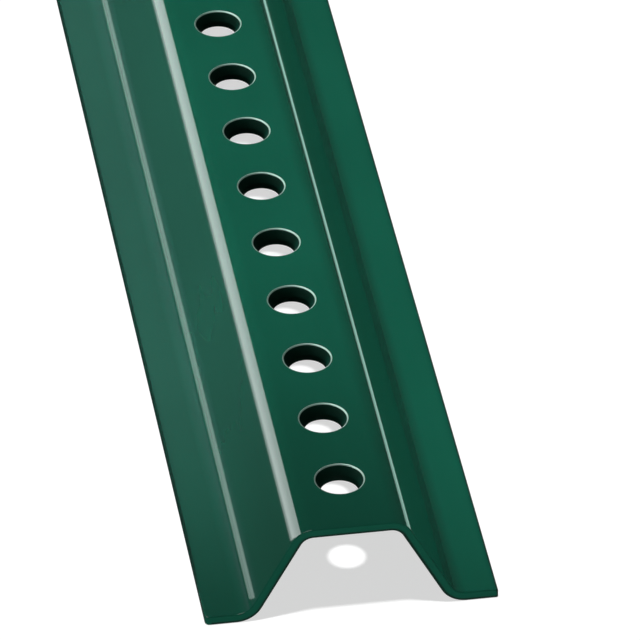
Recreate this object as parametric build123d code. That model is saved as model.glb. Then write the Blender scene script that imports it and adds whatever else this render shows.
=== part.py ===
from build123d import *

import os
from math import atan, cos, pi, radians, sin, tan

# Sign post of flanged U section: one length of steel strip, folded to a hat and
# drawn with a row of bolt holes down the middle of the web.
#
# The post lies on its two flanges, web up. X runs across the section, Y along the
# post and Z up. The origin is the middle of the footprint, at floor level.

# Strip and section
post_length = 914.4
overall_width = 72.5
overall_depth = 26.0
sheet = 2.4
web_width = 26.0
wall_lean = 28.3
web_bend_inside = 3.5
flange_bend_inside = 4.6
edge_radius = 0.4
foot_corner_radius = 1.2

# Bolt holes, one row on the web's centre line
hole_pitch = 25.4
hole_diameter = 9.5
mouth_diameter = 12.0
flare_depth = 2.6
rim_radius = 0.4
foot_to_first_hole = 19.6
collar_drop = 1.8
collar_lip = 1.1
collar_root = 2.6

os.makedirs("parts", exist_ok=True)


def wall_centre(height):
    """Distance from the middle of the section to the centre of the wall's steel."""
    outer_face = web_width / 2 + (overall_depth - height) * tan(radians(wall_lean))
    return outer_face - sheet / 2 / cos(radians(wall_lean))


# The section is a centre line traced at the strip's thickness, so that all five
# flats and the four bends between them are one even sheet.
flange_height = sheet / 2
web_height = overall_depth - sheet / 2
flange_bend = flange_bend_inside + sheet / 2
web_bend = web_bend_inside + sheet / 2

with BuildPart() as sign_post:
    with BuildSketch(Plane.XZ):
        with BuildLine():
            FilletPolyline(
                (-overall_width / 2, flange_height),
                (-wall_centre(flange_height), flange_height),
                (-wall_centre(web_height), web_height),
                (wall_centre(web_height), web_height),
                (wall_centre(flange_height), flange_height),
                (overall_width / 2, flange_height),
                radius=(flange_bend, web_bend, web_bend, flange_bend),
            )
        trace(line_width=sheet)
    extrude(amount=post_length / 2, both=True)

# Each hole is drawn downwards: a flared mouth leads into a short straight bore, and
# the steel pushed out of it hangs under the web as a collar that thins to its lip.
bore_radius = hole_diameter / 2
mouth_radius = mouth_diameter / 2
flare_lean = atan((mouth_radius - bore_radius) / flare_depth)
rim_reach = rim_radius * tan((pi / 2 - flare_lean) / 2)
web_underside = overall_depth - sheet
lip_height = web_underside - collar_drop

with BuildPart() as collar:
    with BuildSketch(Plane.XZ):
        with BuildLine():
            Polyline(
                (0, web_height),
                (0, lip_height),
                (bore_radius + collar_lip, lip_height),
                (bore_radius + collar_root, web_underside),
                (bore_radius + collar_root, web_height),
                close=True,
            )
        make_face()
    revolve(axis=Axis.Z)

with BuildPart() as bore:
    with BuildSketch(Plane.XZ):
        with BuildLine():
            rim = RadiusArc(
                (mouth_radius + rim_reach, overall_depth),
                (
                    mouth_radius - rim_reach * sin(flare_lean),
                    overall_depth - rim_reach * cos(flare_lean),
                ),
                -rim_radius,
            )
            Polyline(
                rim @ 1,
                (bore_radius, overall_depth - flare_depth),
                (bore_radius, lip_height - sheet),
                (0, lip_height - sheet),
                (0, overall_depth + sheet),
                (mouth_radius + rim_reach, overall_depth + sheet),
                rim @ 0,
            )
        make_face()
    revolve(axis=Axis.Z)

# The row keeps its pitch along the whole post, and the far end is cut wherever the
# length falls, as on stock that is punched first and sawn afterwards.
foot = -post_length / 2
first_hole = foot + foot_to_first_hole
room_past_first = post_length - foot_to_first_hole - bore_radius - collar_root - sheet
hole_count = 1 + int(room_past_first // hole_pitch)
hole_places = [(0, first_hole + i * hole_pitch) for i in range(hole_count)]

with sign_post:
    upright_edges = sign_post.edges().filter_by(Axis.Z)
    foot_corner = upright_edges.sort_by(Axis.X)[:2].sort_by(Axis.Y)[0]
    fillet(foot_corner, foot_corner_radius)
    strip_sides = sign_post.faces().filter_by(Axis.X)
    fillet(strip_sides.edges().filter_by(Axis.Y), edge_radius)
    with Locations(*hole_places):
        add(collar.part)
    with Locations(*hole_places):
        add(bore.part, mode=Mode.SUBTRACT)

export_step(sign_post.part, "parts/sign_post.step")

print(f"sign_post: {hole_count} holes, {len(sign_post.solids())} solid")
print(f"volume {sign_post.part.volume / 1000:.1f} cm3, box {sign_post.part.bounding_box().size}")
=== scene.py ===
# %% [markdown]
# # A flanged U sign post in baked enamel
#
# The object is one length of steel strip, folded to a flanged U and drawn with a
# row of bolt holes. It lies on its two flanges with the web up. The CAD model is
# loaded first. It is the frame that everything here is measured against, in metres.

# %% Load the frame
import math

import bmesh
import bpy
from mathutils import Matrix, Vector


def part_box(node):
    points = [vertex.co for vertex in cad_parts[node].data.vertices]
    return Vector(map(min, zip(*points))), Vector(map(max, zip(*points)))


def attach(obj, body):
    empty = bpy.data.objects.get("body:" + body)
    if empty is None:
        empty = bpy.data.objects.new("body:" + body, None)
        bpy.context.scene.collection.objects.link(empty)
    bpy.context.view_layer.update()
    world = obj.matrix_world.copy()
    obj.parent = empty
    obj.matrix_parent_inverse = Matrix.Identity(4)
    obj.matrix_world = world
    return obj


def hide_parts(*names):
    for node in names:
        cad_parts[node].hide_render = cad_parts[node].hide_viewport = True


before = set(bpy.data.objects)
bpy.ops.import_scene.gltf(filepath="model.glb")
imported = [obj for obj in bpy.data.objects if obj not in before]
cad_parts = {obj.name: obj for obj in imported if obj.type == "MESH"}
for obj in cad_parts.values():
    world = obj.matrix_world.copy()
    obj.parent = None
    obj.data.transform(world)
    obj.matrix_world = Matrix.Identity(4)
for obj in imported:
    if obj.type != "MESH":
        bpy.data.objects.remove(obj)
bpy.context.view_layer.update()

# %% [markdown]
# ## The camera
#
# The photograph was taken from far off with a long lens, which is why the flanges
# hardly draw together. The place and the lens below come from a fit to the hole
# rims and to the outline of the near end. The camera has no roll, so two angles
# are enough to turn it.

# %% Place the camera
CAMERA_PLACE = Vector((-0.24811, -1.97431, 1.19445))
CAMERA_TURN = math.radians(8.9961)
CAMERA_FALL = math.radians(35.7512)
CAMERA_LENS = 448.06
NEAR_CLIP, FAR_CLIP = 0.05, 400

look = Vector((
    math.sin(CAMERA_TURN) * math.cos(CAMERA_FALL),
    math.cos(CAMERA_TURN) * math.cos(CAMERA_FALL),
    -math.sin(CAMERA_FALL),
))
across = Vector((math.cos(CAMERA_TURN), -math.sin(CAMERA_TURN), 0))
upward = across.cross(look)

camera_data = bpy.data.cameras.new("camera")
camera_data.lens = CAMERA_LENS
camera_data.clip_start, camera_data.clip_end = NEAR_CLIP, FAR_CLIP
camera = bpy.data.objects.new("camera", camera_data)
bpy.context.collection.objects.link(camera)
camera.matrix_world = Matrix.Translation(CAMERA_PLACE) @ Matrix(
    (across, upward, -look)).transposed().to_4x4()
bpy.context.scene.camera = camera
print("camera looks along", [round(c, 3) for c in look])

# %% [markdown]
# ## Sizes of the section
#
# Length, width and depth are read from the CAD box, so the finished mesh can't
# drift from it. The other sizes are the strip's thickness, the width of the web, the
# lean of the walls and the inside radii of the folds. Lengths are in millimetres.

# %% Sizes of the section
MM = 0.001
low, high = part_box("sign_post")
WIDTH, LENGTH, DEPTH = ((h - l) / MM for l, h in zip(low, high))

SHEET = 2.4
WEB_WIDTH = 26.0
WALL_LEAN = math.radians(28.3)
WEB_FOLD = 3.5
FLANGE_FOLD = 4.6
print(f"post {LENGTH:.1f} x {WIDTH:.1f} x {DEPTH:.1f} mm")

# %% [markdown]
# ## The section as a row of stations
#
# The section could be a curve with a bevel, but then each fold's facets would
# follow the curve's own steps. Here each station is a direction across the sheet,
# with one point on the upper face and one on the lower face. The steel faces that
# way exactly, so the shading can be told the true direction and no facet shows. A
# folded strip is one even sheet, so a fold has one centre and two radii that
# differ by the strip's thickness.

# %% Stations of the folds
FOLD_STEPS = 14
FOLD_TURN = math.pi / 2 - WALL_LEAN

half_corner = math.tan(FOLD_TURN / 2)
web_radius = WEB_FOLD + SHEET
web_centre = (WEB_WIDTH / 2 - web_radius * half_corner, DEPTH - web_radius)
wall_foot = WEB_WIDTH / 2 + (DEPTH - SHEET) * math.tan(WALL_LEAN)
flange_centre = (wall_foot + FLANGE_FOLD * half_corner, SHEET + FLANGE_FOLD)


def station(centre, angle, upper, lower):
    """Upper point, lower point and facing of one station, as (x, z) pairs."""
    facing = (math.sin(angle), math.cos(angle))
    points = [tuple(c + r * f for c, f in zip(centre, facing)) for r in (upper, lower)]
    return points[0], points[1], facing


fold_angles = [FOLD_TURN * i / FOLD_STEPS for i in range(FOLD_STEPS + 1)]
half_section = [station(web_centre, a, web_radius, WEB_FOLD) for a in fold_angles]
half_section += [
    station(flange_centre, a, -FLANGE_FOLD, -FLANGE_FOLD - SHEET)
    for a in reversed(fold_angles)
]
print(len(half_section), "stations over two folds")

# %% [markdown]
# The sheared side of each flange is slightly rounded by its coat of enamel. The
# coat dries dull there, and a hair in from the edge too, and its dark colour there
# is painted shade along the edge. So the flange has three stations close together
# before its side, and the coat changes between them, not over the whole flange.

# %% Stations before the flange's side
SIDE_ROUND = 0.4
SIDE_DULL = 0.08
SIDE_FADE = 0.15

side = WIDTH / 2 - SIDE_ROUND
edge_places = (side - SIDE_DULL - SIDE_FADE, side - SIDE_DULL, side)
half_section += [((x, SHEET), (x, 0.0), (0.0, 1.0)) for x in edge_places]
print(len(half_section), "stations from the web to the flange's side")

# %% [markdown]
# The points of the side go round from the upper face to the lower one. With the
# mirrored half they close the loop, and each point of the loop carries its facing.

# %% Close the loop
SIDE_STEPS = 5


def side_points():
    """Points round the flange's side, from top to bottom, as (x, z, facing)."""
    points = []
    for centre_z, start in ((SHEET - SIDE_ROUND, math.pi / 2), (SIDE_ROUND, 0.0)):
        for i in range(SIDE_STEPS + 1):
            turn = start - math.pi / 2 * i / SIDE_STEPS
            c, s = math.cos(turn), math.sin(turn)
            points.append((side + SIDE_ROUND * c, centre_z + SIDE_ROUND * s, (c, s)))
    return points[1:-1]


def mirrored(points):
    """The same points on the left half, in the opposite order."""
    return [(-x, z, (-f[0], f[1])) for x, z, f in reversed(points)]


upper_half = [(*point, f) for point, _, f in half_section]
lower_half = [(*point, (-f[0], -f[1])) for _, point, f in half_section]
upper = mirrored(upper_half) + upper_half
lower = mirrored(lower_half) + lower_half
right_side = side_points()
left_side = mirrored(right_side)
loop = upper + right_side + lower[::-1] + left_side
print(len(loop), "points round the section")

# %% Names for parts of the loop
N_HALF, N_UP = len(upper_half), len(upper)
FIRST_LOWER = N_UP + len(right_side)
LOWER = range(FIRST_LOWER, FIRST_LOWER + N_UP)
LEFT_EDGE = {*range(len(edge_places)),
             *range(FIRST_LOWER + N_UP - len(edge_places), len(loop))}
print(len(LEFT_EDGE), "points of the loop belong to the left edge")

# %% [markdown]
# ## The length of the post
#
# A straight run needs no points along it, so rows stand only where two hole cells
# meet and where an end rounds over. The holes keep their pitch from the near end,
# and the last one is where a whole collar still fits. The near left corner of the
# flange is rounded in plan, as on the real post, and has a few rows of its own.

# %% Places along the post
PITCH = 25.4
FIRST_HOLE = 19.6
BORE = 9.5 / 2
COLLAR_ROOT = 2.6
END_ROUND, END_STEPS = 0.3, 4
CORNER_ROUND, CORNER_SHARES = 1.2, (0.37, 0.5, 0.7, 1.0)

near_end, far_end = -LENGTH / 2, LENGTH / 2
hole_places = []
place = near_end + FIRST_HOLE
while place + BORE + COLLAR_ROOT + SHEET <= far_end:
    hole_places.append(place)
    place += PITCH

rounded = [END_ROUND * (1 - math.cos(math.pi / 2 * i / END_STEPS))
           for i in range(END_STEPS + 1)]
near_steps = rounded + [CORNER_ROUND * share for share in CORNER_SHARES]
places = [near_end + step for step in near_steps]
first_cell = len(places) - 1
places += [hole + PITCH / 2 for hole in hole_places[:-1]]
places += [far_end - step for step in reversed(rounded)]
print(len(hole_places), "holes,", len(places), "rows of points along the post")

# %% [markdown]
# Each point is kept with its facing and with two numbers for the coat: how thin it
# is, and how far the point is on cut steel. The first also places a pale painted
# highlight on the punched rims, and the second a dull coat whose dark colour is
# painted shade. They could be painted in an image, but a number on each point needs
# no unwrapping, and it lies where the shape says. The tear along the lower edge of a
# sheared end counts as cut steel, like the sides, so painted shade darkens that edge.

# %% Points of one row
HAIR = 0.01
vertices, facings, thin, cut = [], [], [], []


def add_point(x, y, z, facing, thinness=0.0, cutness=0.0):
    """Keep a point in metres with its facing and its coat, and return its number."""
    vertices.append((x * MM, y * MM, z * MM))
    facings.append(Vector(facing).normalized())
    thin.append(thinness)
    cut.append(cutness)
    return len(vertices) - 1


def add_row(y):
    """One closed row of points round the section at that place along the post."""
    end = -1 if y < 0 else 1
    depth_in = min(y - near_end, far_end - y)
    # dip runs from 0 to 1 over the rounded end, and bite over the rounded corner
    dip = max(0.0, 1 - depth_in / END_ROUND)
    bite = max(0.0, 1 - depth_in / CORNER_ROUND) if end < 0 else 0.0
    flat, sweep = math.sqrt(1 - dip * dip), math.sqrt(1 - bite * bite)
    inset = END_ROUND * (1 - flat)
    row = []
    for i, (x, z, (fx, fz)) in enumerate(loop):
        px, pz = x - fx * inset, z - fz * inset
        facing = (fx * flat, end * dip, fz * flat)
        # the sides and the lower edge of a rounded end get the dull coat, whose dark
        # colour is painted shade
        on_side = abs(x) > side - SIDE_DULL - HAIR
        on_tear = dip > 0 and i in LOWER
        if end < 0 and i in LEFT_EDGE:
            px += CORNER_ROUND * (1 - sweep)
            facing = (fx * sweep, -(abs(fx) * bite + abs(fz) * dip), fz * flat)
            on_side = on_side and bite == 0.0
        row.append(add_point(px, y, pz, facing, cutness=float(on_side or on_tear)))
    return row


rows = [add_row(y) for y in places]
print(len(vertices), "points in the rows")

# %% [markdown]
# ## The drawn holes
#
# The punch draws steel down with it: a flared mouth leads into a short bore, and
# the rest hangs under the web as a collar. A boolean cut would leave long thin
# faces round each hole. Instead one profile of radius and height is turned round
# the hole's axis. As in the section, each point carries its facing and its coat.

# %% Arcs of a profile
profile = []


def turn_arc(centre, radius, start, stop, steps, thinness=0.0, cutness=0.0, hollow=False):
    """Add an arc. Angle 0 faces up, and a quarter turn faces the hole's axis.

    A hollow arc has its centre outside the steel.
    """
    reach = -radius if hollow else radius
    for i in range(steps + 1):
        angle = start + (stop - start) * i / steps
        out, up = -math.sin(angle), math.cos(angle)
        profile.append((centre[0] + reach * out, centre[1] + reach * up, out, up,
                        thinness, cutness))


# %% Rim, flare and bore
MOUTH = 12.0 / 2
FLARE_DEPTH = 2.6
RIM_ROUND, RIM_STEPS = 0.4, 6
RIM_FADE = 0.15
THROAT_ROUND = 1.5
COLLAR_DROP = 1.8
LIP_ROUND = 0.25
ARC_STEPS = 4

web_under = DEPTH - SHEET
lip_height = web_under - COLLAR_DROP
flare_lean = math.atan((MOUTH - BORE) / FLARE_DEPTH)
rim_turn = math.pi / 2 - flare_lean
rim_radius = MOUTH + RIM_ROUND * math.tan(rim_turn / 2)

# the coat is whole on the flat, thin on the rim with a pale painted highlight, and dull
# with dark painted shade from a little way down the flare
profile.append((rim_radius, DEPTH, 0.0, 1.0, 0.0, 0.0))
turn_arc((rim_radius, DEPTH - RIM_ROUND), RIM_ROUND, rim_turn / (2 * RIM_STEPS), rim_turn,
         RIM_STEPS, thinness=1.0)
radius, height, out, up, *_ = profile[-1]
profile.append((radius - RIM_FADE * up, height + RIM_FADE * out, out, up, 0.0, 1.0))

throat_height = DEPTH - FLARE_DEPTH - THROAT_ROUND * math.tan(flare_lean / 2)
turn_arc((BORE + THROAT_ROUND, throat_height), THROAT_ROUND, rim_turn, math.pi / 2,
         ARC_STEPS, cutness=1.0)
turn_arc((BORE + LIP_ROUND, lip_height + LIP_ROUND), LIP_ROUND, math.pi / 2, math.pi,
         ARC_STEPS, cutness=1.0)
print(len(profile), "points from the web down to the collar's lip")

# %% Outside of the collar
COLLAR_LIP = 1.1
ROOT_ROUND = 0.8

cone = Vector((COLLAR_ROOT - COLLAR_LIP, COLLAR_DROP)).normalized()
cone_turn = math.pi + math.atan2(cone.y, cone.x)
lip_centre = BORE + COLLAR_LIP + (LIP_ROUND * cone.x - LIP_ROUND) / cone.y
turn_arc((lip_centre, lip_height + LIP_ROUND), LIP_ROUND, math.pi, cone_turn, ARC_STEPS)
root_drop = web_under - ROOT_ROUND - lip_height
root_centre = BORE + COLLAR_LIP + (ROOT_ROUND + root_drop * cone.x) / cone.y
turn_arc((root_centre, web_under - ROOT_ROUND), ROOT_ROUND, cone_turn, math.pi, ARC_STEPS,
         hollow=True)
for radius, height, out, up, *_ in profile:
    print(f"radius {radius:5.2f}  height {height:5.2f}  facing {out:5.2f} {up:5.2f}")

# %% [markdown]
# ## Faces
#
# Quads join one row to the next. On the web the middle quad is left out, because a
# hole stands there. Its cell is filled by fans from the round rim to the corners,
# so the flat stays flat and the mesh has no gap where the cell meets the folds.

# %% Skin along the post
faces = []
web_top = (N_HALF - 1, N_HALF)
web_bottom = (LOWER[-1] - N_HALF, LOWER[-1] - N_HALF + 1)
cells = range(first_cell, first_cell + len(hole_places))

for j in range(len(rows) - 1):
    for i in range(len(loop)):
        k = (i + 1) % len(loop)
        if j in cells and i in (web_top[0], web_bottom[0]):
            continue
        faces.append((rows[j][i], rows[j][k], rows[j + 1][k], rows[j + 1][i]))
print(len(faces), "faces along the post")

# %% [markdown]
# A sheared end is smooth where the blade went in and torn where the steel broke
# off, near its lower edge. So each end has a row of points across it where the
# tear starts, and the coat dulls from there down. Its darker colour there is
# painted shade along the lower edge.

# %% Sheared ends
TEAR_START = 0.60

for row, end in ((rows[0], -1), (rows[-1], 1)):
    above, below = row[:N_UP], [row[i] for i in reversed(LOWER)]
    tear = []
    for a, b in zip(above, below):
        start = Vector(vertices[a]).lerp(Vector(vertices[b]), TEAR_START) / MM
        tear.append(add_point(*start, (0, end, 0)))
    for i in range(N_UP - 1):
        faces.append((above[i], above[i + 1], tear[i + 1], tear[i]))
        faces.append((tear[i], tear[i + 1], below[i + 1], below[i]))
    faces.append((*row[N_UP - 1:FIRST_LOWER + 1], tear[-1]))
    faces.append((*row[LOWER[-1]:], row[0], tear[0]))
print(len(faces), "faces along the post and on its ends")

# %% [markdown]
# The profile becomes rings of points joined by quads, from the rim down through the
# bore and up the outside of the collar. The first ring is fanned to the corners of
# its cell on top of the web, and the last ring to those under it. A grid of quads
# could also fill a square round a ring, but on a flat it would add points for nothing.

# %% Rings and fans of the holes
ROUND = 56
QUARTER = ROUND // 4


def add_ring(y, radius, height, out, up, thinness, cutness):
    """One point of the profile, turned round the axis of the hole at that place."""
    ring = []
    for i in range(ROUND):
        angle = 2 * math.pi * i / ROUND
        c, s = math.cos(angle), math.sin(angle)
        ring.append(add_point(radius * c, y + radius * s, height, (out * c, out * s, up),
                              thinness, cutness))
    return ring


def fan(ring, corners):
    """Fill between a ring and a cell's corners, which start at +X, +Y and go round."""
    for q in range(4):
        for i in range(QUARTER):
            a, b = ring[q * QUARTER + i], ring[(q * QUARTER + i + 1) % ROUND]
            faces.append((corners[q], a, b))
        faces.append((ring[q * QUARTER], corners[q], corners[q - 1]))


for j, y in zip(cells, hole_places):
    rings = [add_ring(y, *point) for point in profile]
    for a, b in zip(rings, rings[1:]):
        faces += [(a[i], a[(i + 1) % ROUND], b[(i + 1) % ROUND], b[i])
                  for i in range(ROUND)]
    near, far = rows[j], rows[j + 1]
    fan(rings[0], (far[web_top[1]], far[web_top[0]], near[web_top[0]], near[web_top[1]]))
    fan(rings[-1], (far[web_bottom[0]], far[web_bottom[1]],
                    near[web_bottom[1]], near[web_bottom[0]]))
print(len(faces), "faces with the holes")

# %% [markdown]
# The faces were listed in no fixed order of winding, so Blender turns them all
# outwards. The mesh is closed, which is checked by counting open edges. The known
# facings are then given to the mesh as its own normals.

# %% Make the post
post_mesh = bpy.data.meshes.new("sign_post_enamelled")
post_mesh.from_pydata(vertices, [], faces)
shell = bmesh.new()
shell.from_mesh(post_mesh)
bmesh.ops.recalc_face_normals(shell, faces=shell.faces)
open_edges = sum(1 for edge in shell.edges if len(edge.link_faces) != 2)
volume = shell.calc_volume() / MM ** 3 / 1000
shell.to_mesh(post_mesh)
shell.free()
post_mesh.shade_smooth()
post_mesh.normals_split_custom_set_from_vertices(facings)
for name, values in (("thin_coat_and_painted_highlight", thin), ("cut_steel_and_painted_shade", cut)):
    post_mesh.attributes.new(name, "FLOAT", "POINT").data.foreach_set("value", values)

post = bpy.data.objects.new("sign_post_enamelled", post_mesh)
bpy.context.collection.objects.link(post)
post_mesh.calc_loop_triangles()
print(f"{len(post_mesh.loop_triangles)} triangles, {open_edges} open edges,"
      f" {volume:.1f} cm3")

# %% [markdown]
# ## Shader maths as expressions
#
# A material is easier to read as a sum than as a list of links. One small class
# wraps a socket, so that `1 - mask` adds the Math node by itself. A vector goes to
# Vector Math and colours are blended by a Mix node, because a Math node would make
# one number of them.


# %% A socket that does sums
class Wire:
    """One output socket of a node in a tree."""

    def __init__(self, tree, socket):
        self.tree, self.socket = tree, socket

    def combine(self, operation, first, second):
        """Add the node that works on two wires, or on a wire and a value."""
        kind = "ShaderNodeVectorMath" if self.socket.type == "VECTOR" else "ShaderNodeMath"
        return self.tree.add(kind, {"operation": operation}, {0: first, 1: second})

    def __add__(self, other): return self.combine("ADD", self, other)
    def __radd__(self, other): return self.combine("ADD", other, self)
    def __sub__(self, other): return self.combine("SUBTRACT", self, other)
    def __rsub__(self, other): return self.combine("SUBTRACT", other, self)
    def __mul__(self, other): return self.combine("MULTIPLY", self, other)
    def __rmul__(self, other): return self.combine("MULTIPLY", other, self)


# %% A tree that takes nodes
class Tree:
    """The nodes of one material, of one lamp or of the world."""

    def __init__(self, owner):
        owner.use_nodes = True
        self.nodes, self.links = owner.node_tree.nodes, owner.node_tree.links
        self.nodes.clear()

    def add(self, kind, settings=None, sockets=None, out=0):
        """Add a node: its settings first, then its sockets' values or links."""
        node = self.nodes.new(kind)
        for name, value in (settings or {}).items():
            setattr(node, name, value)
        for name, value in (sockets or {}).items():
            socket = node.inputs[name]
            if isinstance(value, Wire):
                self.links.new(value.socket, socket)
            elif socket.type == "RGBA":
                socket.default_value = (*value, 1.0)
            else:
                socket.default_value = value
        return Wire(self, node.outputs[out]) if len(node.outputs) else None

    def mix(self, factor, first, second):
        """A colour between two colours."""
        return self.add("ShaderNodeMix", {"data_type": "RGBA"},
                        {0: factor, 6: first, 7: second}, 2)

    def fade(self, value, start, stop):
        """0 before start, 1 after stop, with a soft step between."""
        return self.add("ShaderNodeMapRange", {"interpolation_type": "SMOOTHSTEP"},
                        {"Value": value, "From Min": start, "From Max": stop})


# %% [markdown]
# ## Baked enamel
#
# Such a post is dipped or sprayed with enamel and baked. The coat is dark green
# and glossy, with a faint, wide unevenness in its depth of colour. Over the punched
# rims it draws thin and the steel glints through, and the pale colour there is
# partly a painted highlight. On cut steel, down the holes and along the sheared
# sides and ends, it dries dull, and its dark colour there is painted shade. First
# come the masks for all this. Noise on the object's own coordinates gives them an
# uneven border, and the two numbers that the points carry say where they are.

# %% Where the coat is deep, thin or dull, with painted highlight and painted shade
CLOUD_SCALE, CLOUD_SHARE = 22.0, 0.7
FLOW_SCALE, FLOW_SHARE = 160.0, 0.3
FLOW_STRETCH = Vector((1.0, 0.12, 1.0))
RIM_WANDER, CUT_WANDER = 0.12, 0.2
DEEP_STEP, BARE_STEP, DRY_STEP = (0.35, 0.65), (0.2, 0.75), (0.1, 0.7)

enamel_material = bpy.data.materials.new("green_baked_enamel")
enamel = Tree(enamel_material)
spot = enamel.add("ShaderNodeTexCoord", out="Object")
clouds = enamel.add("ShaderNodeTexNoise", {}, {
    "Vector": spot, "Scale": CLOUD_SCALE, "Detail": 3.0, "Roughness": 0.5})
flow = enamel.add("ShaderNodeTexNoise", {}, {
    "Vector": spot * FLOW_STRETCH, "Scale": FLOW_SCALE, "Detail": 2.0})
thinness = enamel.add("ShaderNodeAttribute", {"attribute_name": "thin_coat_and_painted_highlight"}, out="Fac")
cutness = enamel.add("ShaderNodeAttribute", {"attribute_name": "cut_steel_and_painted_shade"}, out="Fac")

depth = enamel.fade(clouds * CLOUD_SHARE + flow * FLOW_SHARE, *DEEP_STEP)
# pale where the coat is thin on the rims: partly steel showing through, partly a painted
# highlight
bare_and_painted_highlight = enamel.fade(thinness + RIM_WANDER * (flow - 0.5), *BARE_STEP)
# dull and dark on cut steel: the dullness is the coat's finish, the dark colour is painted
# shade
dull_and_painted_shade = enamel.fade(cutness + CUT_WANDER * (flow - 0.5), *DRY_STEP)
print("masks need", len(enamel.nodes), "nodes")

# %% [markdown]
# The paint's own gloss could come from a clear coat over a matt base, but this
# enamel is one layer, so the base is glossy. A fine peel shows only in the
# highlights. It is far too shallow for real displacement, so a Bump node makes it.
# Where the coat is thin, it turns rougher and half metallic, and its pale colour there
# is partly a painted highlight. A second shader stands for the dull part, whose dark
# base colour is painted shade, and the last mask mixes the two.

# %% Enamel material
ENAMEL = (0.0060, 0.1060, 0.0640)
ENAMEL_DEEP = (0.0050, 0.0970, 0.0580)
# dark colour of the dull coat: painted shade down the holes, along the sheared sides and
# on the lower edge of the ends
DULL_COAT_AND_PAINTED_SHADE = (0.0015, 0.0380, 0.0230)
# pale rim colour: partly steel through a thin coat, partly a painted highlight along the
# punched rims
STEEL_AND_PAINTED_HIGHLIGHT = (0.58, 0.82, 0.72)
GLOSS, GLOSS_DRIFT, BARE_ROUGH, BARE_METAL = 0.07, 0.03, 0.32, 0.6
PEEL_SCALE, WAVE_SCALE = 420.0, 75.0
PEEL_SHARE, WAVE_SHARE = 0.35, 1.6
PEEL_HEIGHT, PEEL_STRENGTH = 0.00005, 0.02

colour = enamel.mix(bare_and_painted_highlight, enamel.mix(depth, ENAMEL, ENAMEL_DEEP), STEEL_AND_PAINTED_HIGHLIGHT)
peel = enamel.add("ShaderNodeTexNoise", {}, {
    "Vector": spot, "Scale": PEEL_SCALE, "Detail": 1.5})
wave = enamel.add("ShaderNodeTexNoise", {}, {
    "Vector": spot, "Scale": WAVE_SCALE, "Detail": 1.0})
skin = enamel.add("ShaderNodeBump", {}, {
    "Strength": PEEL_STRENGTH, "Distance": PEEL_HEIGHT,
    "Height": peel * PEEL_SHARE + wave * WAVE_SHARE})

paint = enamel.add("ShaderNodeBsdfPrincipled", {}, {
    "Base Color": colour, "Roughness": GLOSS + GLOSS_DRIFT * clouds + BARE_ROUGH * bare_and_painted_highlight,
    "Metallic": bare_and_painted_highlight * BARE_METAL, "Normal": skin, "IOR": 1.5})
# its roughness is the dull finish; its dark base colour is painted shade
dull = enamel.add("ShaderNodeBsdfPrincipled", {}, {
    "Base Color": DULL_COAT_AND_PAINTED_SHADE, "Roughness": 0.6, "Specular IOR Level": 0.15})
coat = enamel.add("ShaderNodeMixShader", {}, {0: dull_and_painted_shade, 1: paint, 2: dull})
enamel.add("ShaderNodeOutputMaterial", {}, {"Surface": coat})
post_mesh.materials.append(enamel_material)
print("enamel has", len(enamel.nodes), "nodes")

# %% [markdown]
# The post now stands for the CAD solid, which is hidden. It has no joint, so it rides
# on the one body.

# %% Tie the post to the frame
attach(post, "root")
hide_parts("sign_post")
print("sign_post is now", post.name)

# %% [markdown]
# ## Floor and backdrop
#
# The floor is one plain sheet that runs to the horizon. The camera sees it white
# through the Light Path node, and part of its light comes from a lamp, so the
# shadow in the channel under the post is kept. Gloss sees floor and world at a low
# share, because on the real post they hardly show in the dark paint.

# %% Floor
FLOOR_REACH, FLOOR_DROP = 200.0, 0.00005
FLOOR_GLOW = 0.65
FLOOR_LIT = 0.40
FLOOR_BOUNCE = 0.80
GLOSS_SHARE = 0.045
WHITE = (1.0, 1.0, 1.0)

floor_mesh = bpy.data.meshes.new("floor")
floor_mesh.from_pydata(
    [(x * FLOOR_REACH, y * FLOOR_REACH, -FLOOR_DROP)
     for x, y in ((-1, -1), (1, -1), (1, 1), (-1, 1))], [], [(0, 1, 2, 3)])
floor = bpy.data.objects.new("floor", floor_mesh)
bpy.context.collection.objects.link(floor)
floor.visible_shadow = False
print("floor reaches", FLOOR_REACH, "m each way")

# %% What the camera and gloss see of the floor
floor_material = bpy.data.materials.new("floor_white")
ground = Tree(floor_material)


def ray_kinds(tree):
    """1 where the camera sees, directly or through glass, and 1 where gloss sees."""
    camera_ray = tree.add("ShaderNodeLightPath", out="Is Camera Ray")
    kinds = camera_ray.socket.node.outputs
    glass_ray, gloss_ray = (Wire(tree, kinds[name])
                            for name in ("Is Transmission Ray", "Is Glossy Ray"))
    return camera_ray + glass_ray, gloss_ray


seen, glossed = ray_kinds(ground)
grey = seen * FLOOR_LIT + (1 - seen - glossed) * FLOOR_BOUNCE
matt = ground.add("ShaderNodeBsdfDiffuse", {}, {"Color": grey})
glow = ground.add("ShaderNodeEmission", {}, {
    "Color": WHITE, "Strength": seen * FLOOR_GLOW + glossed * GLOSS_SHARE})
both = ground.add("ShaderNodeAddShader", {}, {0: matt, 1: glow})
ground.add("ShaderNodeOutputMaterial", {}, {"Surface": both})
floor_mesh.materials.append(floor_material)
print("floor has", len(ground.nodes), "nodes")

# %% [markdown]
# The world is the backdrop. The camera sees it at strength 1, which is white. The
# post itself gets only a breath of light from it, so that no shade is quite black.

# %% World
AIR = 0.03

world = bpy.data.worlds.new("studio")
bpy.context.scene.world = world
sky = Tree(world)
seen, glossed = ray_kinds(sky)
air = sky.add("ShaderNodeBackground", {}, {
    "Color": WHITE, "Strength": AIR + seen * (1 - AIR) + glossed * (GLOSS_SHARE - AIR)})
sky.add("ShaderNodeOutputWorld", {}, {"Surface": air})
print("world has", len(sky.nodes), "nodes")

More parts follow.
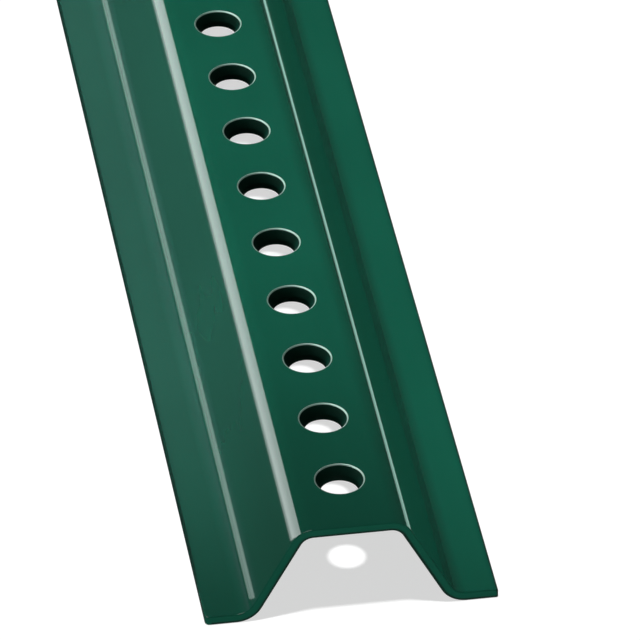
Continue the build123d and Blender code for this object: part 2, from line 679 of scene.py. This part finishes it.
# %% [markdown]
# ## Lamps
#
# One lamp could light floor and post together, but the photograph has a crisp
# shadow under the web and dark walls in its holes, which ask for light from two
# sides. So the floor has a sun of its own, and light linking keeps the softboxes
# on the post. A sun of strength pi shows a colour as it is written.

# %% What each lamp lights
SUN_POWER = math.pi
SUN_ANGLE = math.radians(3.5)
SUN_WAY = Vector((0.10, 0.11, -1.0))

floor_only = bpy.data.collections.new("lit_by_the_sun")
floor_only.objects.link(floor)
post_only = bpy.data.collections.new("lit_by_the_softboxes")
post_only.objects.link(post)

sun_data = bpy.data.lights.new("floor_sun", "SUN")
sun_data.energy, sun_data.angle = SUN_POWER, SUN_ANGLE
sun = bpy.data.objects.new("floor_sun", sun_data)
bpy.context.collection.objects.link(sun)
sun.rotation_euler = SUN_WAY.to_track_quat("-Z", "Y").to_euler()
sun.light_linking.receiver_collection = floor_only

# %% [markdown]
# Three softboxes model the form. The large one overhead gives the even part of the
# light. The one behind is narrow in its spread and stops short of the near end, so
# that the web darkens towards it, as in the photograph. The one in front is weak
# and shows the cut end. The last two are kept out of the gloss, where they would
# show as white patches from the side.


# %% Softboxes
def softbox(name, place, facing, along, size, power, spread=180.0, tint=WHITE,
            in_gloss=True):
    """A rectangular lamp on the post. Its height runs along a direction."""
    data = bpy.data.lights.new(name, "AREA")
    data.shape = "RECTANGLE"
    data.size, data.size_y = size
    data.energy, data.color = power, tint
    data.spread = math.radians(spread)
    lamp = bpy.data.objects.new(name, data)
    bpy.context.collection.objects.link(lamp)
    back = -Vector(facing).normalized()
    up = (Vector(along) - back * back.dot(Vector(along))).normalized()
    lamp.matrix_world = Matrix.Translation(place) @ Matrix(
        (up.cross(back), up, back)).transposed().to_4x4()
    lamp.light_linking.receiver_collection = post_only
    lamp.visible_camera = False
    lamp.visible_glossy = in_gloss
    print(f"{name}: radiance {power / (math.pi * size[0] * size[1]):.2f}")
    return lamp


LENGTHWAYS, UPRIGHT = (0.0, 1.0, 0.0), (0.0, 0.0, 1.0)
softbox("top_softbox", place=(-0.66, 0.42, 2.10), facing=(0.29, -0.33, -0.90),
        along=LENGTHWAYS, size=(1.4, 1.4), power=23.5)
softbox("back_softbox", place=(-0.108, 0.520, 0.297), facing=(0.197, -0.847, -0.493),
        along=LENGTHWAYS, size=(0.22, 0.495), power=0.41, spread=6.0, in_gloss=False)
softbox("front_softbox", place=(-0.3, -2.4, 0.12), facing=(0.12, 1.0, -0.05),
        along=UPRIGHT, size=(0.8, 0.4), power=6.6, in_gloss=False)

# %% [markdown]
# The bright lines in the folds are reflections. Cards in white and in pale tints hang
# close to the post, where each fold sees only its own card, and the camera doesn't
# see them. They add no diffuse light. A card may fade along the post or up its own
# height, which a few nodes on the lamp do from the place on its face. No card lies
# where a flat of the post would just graze it, because that draws a stray thin line.

# %% Cards
WHITE_CARD = (0.94, 1.0, 0.985)
BLUE_CARD = (0.62, 0.76, 1.0)
PURPLE_CARD = (0.80, 0.62, 1.0)
PALE_GREEN_CARD = (0.80, 1.0, 0.93)
GREEN_CARD = (0.60, 1.0, 0.86)
TO_RIGHT, TO_LEFT, DOWN = (1.0, 0.0, 0.0), (-1.0, 0.0, 0.0), (0.0, 0.0, -1.0)
ACROSS, ALONG, UPWARDS = range(3)


def card(name, low_corner, high_corner, facing, glow, slope=0.0, fade=None,
         tint=WHITE_CARD):
    """A card that shows in the gloss alone, from corner to corner in millimetres.

    fade is an axis and two places on it, between which the card comes up to its glow.
    """
    spans = [h - l for l, h in zip(low_corner, high_corner)]
    middle = [(l + h) / 2 * MM for l, h in zip(low_corner, high_corner)]
    length, width = spans[ALONG] * MM, max(spans[ACROSS], spans[UPWARDS]) * MM
    lamp = softbox(name, middle, facing, (0.0, 1.0, slope), (width, length),
                   glow * math.pi * width * length, tint=tint)
    lamp.visible_diffuse = False
    if fade:
        axis, *limits = fade
        start, stop = ((limit - low_corner[axis]) / spans[axis] for limit in limits)
        shade = Tree(lamp.data)
        face = shade.add("ShaderNodeNewGeometry", out="Parametric")
        way = "Y" if axis == ALONG else "X"
        on_face = shade.add("ShaderNodeSeparateXYZ", {}, {0: face}, way)
        shine = shade.add("ShaderNodeEmission", {}, {
            "Strength": shade.fade(on_face, start, stop)})
        shade.add("ShaderNodeOutputLight", {}, {"Surface": shine})


card("web_fold_card", (-20, -449, 20.3), (-20, 540, 31.0), TO_RIGHT, glow=3.8,
     fade=(UPWARDS, 18.7, 23.0))
card("wall_card", (-32, -470, 2.6), (-32, 540, 16.4), TO_RIGHT, glow=0.08,
     fade=(ALONG, -465, -345), tint=BLUE_CARD)
card("flange_fold_card", (-28.6, -449, 3.05), (-28.6, 540, 4.0), TO_RIGHT, glow=1.4,
     tint=PALE_GREEN_CARD)
card("flange_card", (-150, -460, 30), (-21, 540, 30), DOWN, glow=0.32,
     fade=(ALONG, -450, -310), tint=PURPLE_CARD)
card("right_fold_card", (20, -452, 15.5), (20, 540, 20.0), TO_LEFT, glow=1.5,
     slope=-0.007, tint=GREEN_CARD)

# %% [markdown]
# ## View transform
#
# The view transform is set to Standard so that colours come out as written.

# %% View transform
bpy.context.scene.view_settings.view_transform = "Standard"
